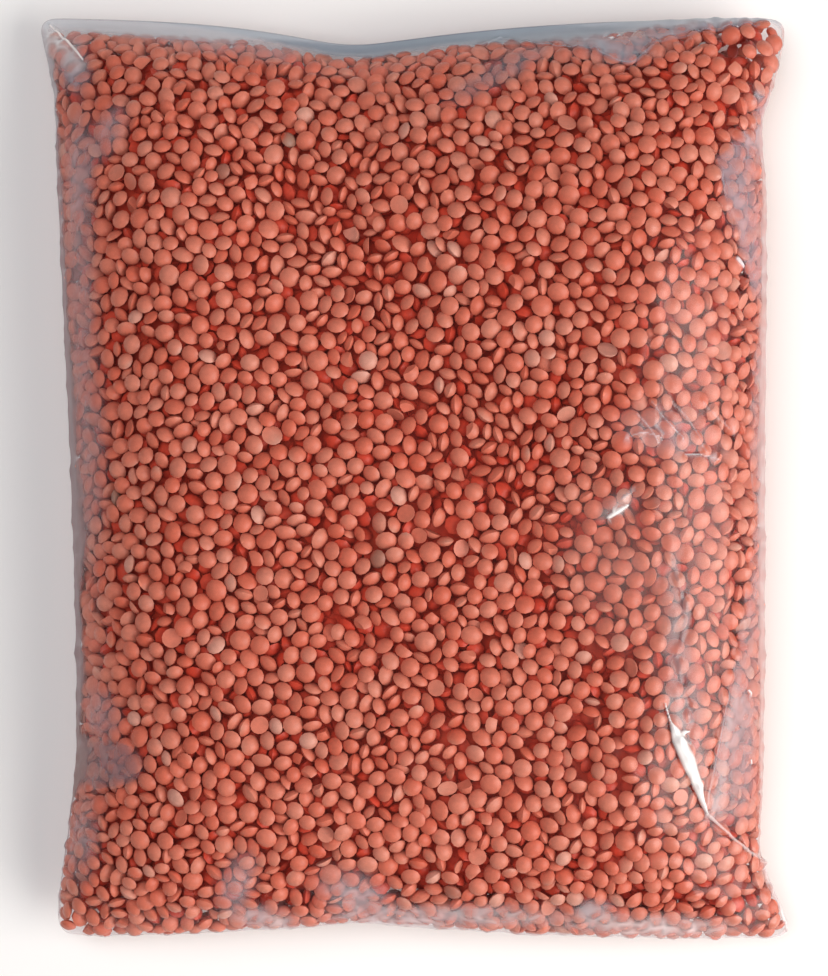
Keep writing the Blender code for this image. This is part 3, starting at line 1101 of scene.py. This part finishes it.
def bed_mesh(skin):
    """The filling below the laid grains, as one lumpy body well inside the film."""
    mesh = merged_copy(BAG)
    mesh.normal_update()
    low, high = (np.array(corner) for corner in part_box(BAG))
    shrink_x = 1 - 2 * BED_INSET / (high[0] - low[0])
    shrink_y = 1 - 2 * BED_INSET / (high[1] - low[1])
    for vertex in mesh.verts:
        x, y = vertex.co.x * shrink_x, vertex.co.y * shrink_y
        upper = between(skin.upper, skin.axes, x, y) - BED_DEPTH
        lower = between(skin.lower, skin.axes, x, y) + BED_DEPTH
        middle = (upper + lower) / 2
        if vertex.normal.z > 0:
            vertex.co = x, y, max(upper, middle + BED_LEAST / 2)
        else:
            vertex.co = x, y, min(lower, middle - BED_LEAST / 2)
    bmesh.ops.recalc_face_normals(mesh, faces=mesh.faces[:])
    data = bpy.data.meshes.new("lentil_bed")
    mesh.to_mesh(data)
    mesh.free()
    data.shade_smooth()
    return data


def bed_material():
    """Lentils packed deep in the bag: only their tops show, as small rounded cells, in painted shade that is
    deep red and darker towards each cell's rim.
    """
    material, tree = new_material("packed lentils in shade")
    place = add_node(tree, "ShaderNodeTexCoord")
    where = {"Vector": place.outputs["Object"]}
    cells = add_node(tree, "ShaderNodeTexVoronoi", {"feature": "SMOOTH_F1"}, BED_CELLS, where)
    ramp = add_node(tree, "ShaderNodeValToRGB", links={"Fac": cells.outputs["Distance"]})
    for stop, colour in zip(ramp.color_ramp.elements, BED_PAINTED_SHADE_COLOURS):
        stop.color = linear(colour)
    ramp.color_ramp.elements[1].position = BED_PAINTED_SHADE_FROM
    height = {"Height": cells.outputs["Distance"]}
    bump = add_node(tree, "ShaderNodeBump", {"invert": True}, BED_BUMP, height)
    links = {"Base Color": ramp.outputs["Color"], "Normal": bump.outputs["Normal"]}
    show_plain(tree, {"Roughness": BED_ROUGHNESS}, links)
    return material


# ---- Pieces


def shades(count, random):
    """Each grain's shade: most are salmon red, some pale, and a very few dull brown."""
    shade = LEAST_SHADE + SHADE_RANGE * random.beta(SHADE_EVENNESS, SHADE_EVENNESS, count)
    kind = random.random(count)
    pale = kind < PALE_SHARE
    dull = kind > 1 - DULL_SHARE
    shade[pale] = random.uniform(*PALE_SHADES, pale.sum())
    shade[dull] = random.uniform(*DULL_SHADES, dull.sum())
    return shade


def make_lentils(skin, random):
    """Packs the lentils and adds their pieces: one for each kind, parted so that none is too heavy."""
    grains = settle(scatter_grains(skin, random), skin)
    press_outwards(grains)
    count = len(grains.place)
    grains.shade = shades(count, random)
    outer = grains.depth < OUTER_DEPTH
    upper = grains.out[:, 2] > UPPER_FROM
    left = grains.place[:, 0] < 0
    kind = random.random(count)
    split = outer & upper & (kind < SPLIT_SHARE)
    broken = outer & upper & (kind > 1 - BROKEN_SHARE)
    whole = ~split & ~broken
    grains.shade[split] = np.clip(grains.shade[split] + SPLIT_PALER, 0, 1)
    fine, coarse = lentil(FINE), lentil(COARSE)
    lit = lentil_material("dry red lentils", LENTIL_SHADES)
    # The lentils in the gaps get a second copy of the material whose purer red is painted shade.
    deep = lentil_material("dry red lentils in shade", PAINTED_SHADE_LENTIL_COLOURS)
    for name, chosen, shape, material in (
        ("lentils_upper_left", outer & upper & whole & left, fine, lit),
        ("lentils_upper_right", outer & upper & whole & ~left, fine, lit),
        ("lentils_split", split, lentil(FINE_SPLIT, SPLIT_CUTS), lit),
        ("lentils_broken", broken, lentil(FINE, BROKEN_CUTS), lit),
        ("lentils_upper_gaps", ~outer & upper, coarse, deep),
        ("lentils_under", outer & ~upper, coarse, lit),
        ("lentils_under_gaps", ~outer & ~upper, coarse, deep),
    ):
        mesh = joined_mesh(name, shape, choose(grains, chosen), random)
        add_piece(name, mesh, material)
    return grains


# ---- Studio


def add_floor(height):
    """The table under the bag, just clear of its underside."""
    bpy.ops.mesh.primitive_plane_add(size=FLOOR_SIZE, location=(0, 0, height - FLOOR_DROP))
    floor = bpy.context.object
    floor.name = "floor"
    floor.data.materials.append(floor_material())


def add_room():
    """The room: dim where it lights and mirrors, and bright where the camera sees it behind the bag."""
    world = bpy.data.worlds.new("studio")
    world.use_nodes = True
    tree = world.node_tree
    background = tree.nodes["Background"]
    background.inputs["Color"].default_value = linear(ROOM_COLOUR)
    path = add_node(tree, "ShaderNodeLightPath")
    brightness = add_node(
        tree,
        "ShaderNodeMapRange",
        inputs={"To Min": ROOM_LIGHT, "To Max": BACKDROP_LIGHT},
        links={"Value": path.outputs["Is Camera Ray"]},
    )
    tree.links.new(brightness.outputs["Result"], background.inputs["Strength"])
    bpy.context.scene.world = world


def add_light(light, mirrored):
    """A soft square light aimed at the bag, which the film shows as a glint if it is mirrored."""
    data = bpy.data.lights.new(light.name, "AREA")
    data.shape = "SQUARE"
    data.size = light.size
    data.energy = light.power
    data.color = linear(light.colour)[:3]
    lamp = bpy.data.objects.new(light.name, data)
    lamp.location = light.place
    aim = Vector(LIT_SPOT) - Vector(light.place)
    lamp.rotation_euler = aim.to_track_quat("-Z", "Y").to_euler()
    lamp.visible_camera = False
    lamp.visible_glossy = mirrored
    bpy.context.scene.collection.objects.link(lamp)


def add_camera():
    """The camera, which looks straight down at the bag."""
    data = bpy.data.cameras.new("camera")
    data.sensor_width = SENSOR_WIDTH
    data.lens = SENSOR_WIDTH * (CAMERA_PLACE[2] - MIDDLE_PLANE) / SEEN_LENGTH
    data.clip_start = CLIP_START
    camera = bpy.data.objects.new("camera", data)
    camera.location = CAMERA_PLACE
    bpy.context.scene.collection.objects.link(camera)
    bpy.context.scene.camera = camera
    bpy.context.scene.view_settings.view_transform = "Standard"


def main():
    random = np.random.default_rng(SEED)
    skin = read_skin()
    grains = make_lentils(skin, random)
    film = add_piece("film", film_mesh(grains), film_material())
    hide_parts(BAG)
    add_piece("lentil_bed", bed_mesh(skin), bed_material())
    add_floor(CAD_BOX[0][2])
    add_room()
    add_light(WINDOW, mirrored=True)
    add_light(OVERHEAD, mirrored=False)
    add_camera()


main()
